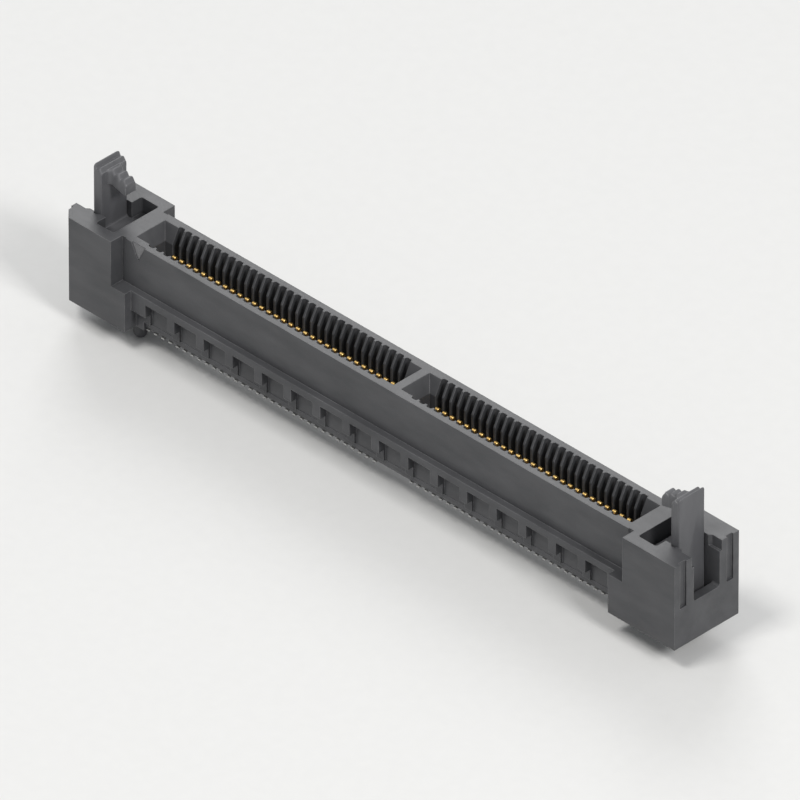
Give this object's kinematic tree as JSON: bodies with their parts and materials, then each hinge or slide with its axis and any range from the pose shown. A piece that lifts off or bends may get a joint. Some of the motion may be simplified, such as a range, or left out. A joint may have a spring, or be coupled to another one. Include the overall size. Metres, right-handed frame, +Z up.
{
  "type": "card edge connector",
  "caption": "Straight surface-mount card edge connector with two rows of contacts, a keyed card slot, end towers with pivoting retaining latches and locating pegs.",
  "frame": {"origin": "centre of the footprint on the board plane: halfway between the towers' outer end faces, midway between the two rows, at the height of the towers' undersides", "axes": "+X along the rows of contacts towards the end away from pin one, +Y from the front row to the back row, +Z up out of the board towards the card slot's mouth"},
  "size_m": [0.067, 0.007, 0.0141],
  "materials": {
    "housing_plastic": "glass-filled liquid crystal polymer, moulded, near black, fine matt grain",
    "latch_plastic": "glass-filled polyamide, moulded, near black, slightly smoother than the housing",
    "contact_gold": "copper alloy strip, gold plated at the contact tip, bright"
  },
  "bodies": {
    "housing": {"housing": "housing_plastic", "contacts_front_01": "contact_gold", "contacts_front_02": "contact_gold", "contacts_front_03": "contact_gold", "contacts_front_04": "contact_gold", "contacts_front_05": "contact_gold", "contacts_front_06": "contact_gold", "contacts_front_07": "contact_gold", "contacts_front_08": "contact_gold", "contacts_front_09": "contact_gold", "contacts_front_10": "contact_gold", "contacts_front_11": "contact_gold", "contacts_front_12": "contact_gold", "contacts_front_13": "contact_gold", "contacts_front_14": "contact_gold", "contacts_front_15": "contact_gold", "contacts_back_01": "contact_gold", "contacts_back_02": "contact_gold", "contacts_back_03": "contact_gold", "contacts_back_04": "contact_gold", "contacts_back_05": "contact_gold", "contacts_back_06": "contact_gold", "contacts_back_07": "contact_gold", "contacts_back_08": "contact_gold", "contacts_back_09": "contact_gold", "contacts_back_10": "contact_gold", "contacts_back_11": "contact_gold", "contacts_back_12": "contact_gold", "contacts_back_13": "contact_gold", "contacts_back_14": "contact_gold", "contacts_back_15": "contact_gold"},
    "left_latch": {"left_latch": "latch_plastic"},
    "right_latch": {"right_latch": "latch_plastic"}
  },
  "joints": [
    {"name": "left_latch_pivot", "type": "hinge", "parent": "housing", "child": "left_latch", "pos_m": [-0.03033, 0, 0.0023], "axis": [0, -1, 0], "range_deg": [0, 22]},
    {"name": "right_latch_pivot", "type": "hinge", "parent": "housing", "child": "right_latch", "pos_m": [0.03033, 0, 0.0023], "axis": [0, 1, 0], "range_deg": [0, 22]}
  ]
}
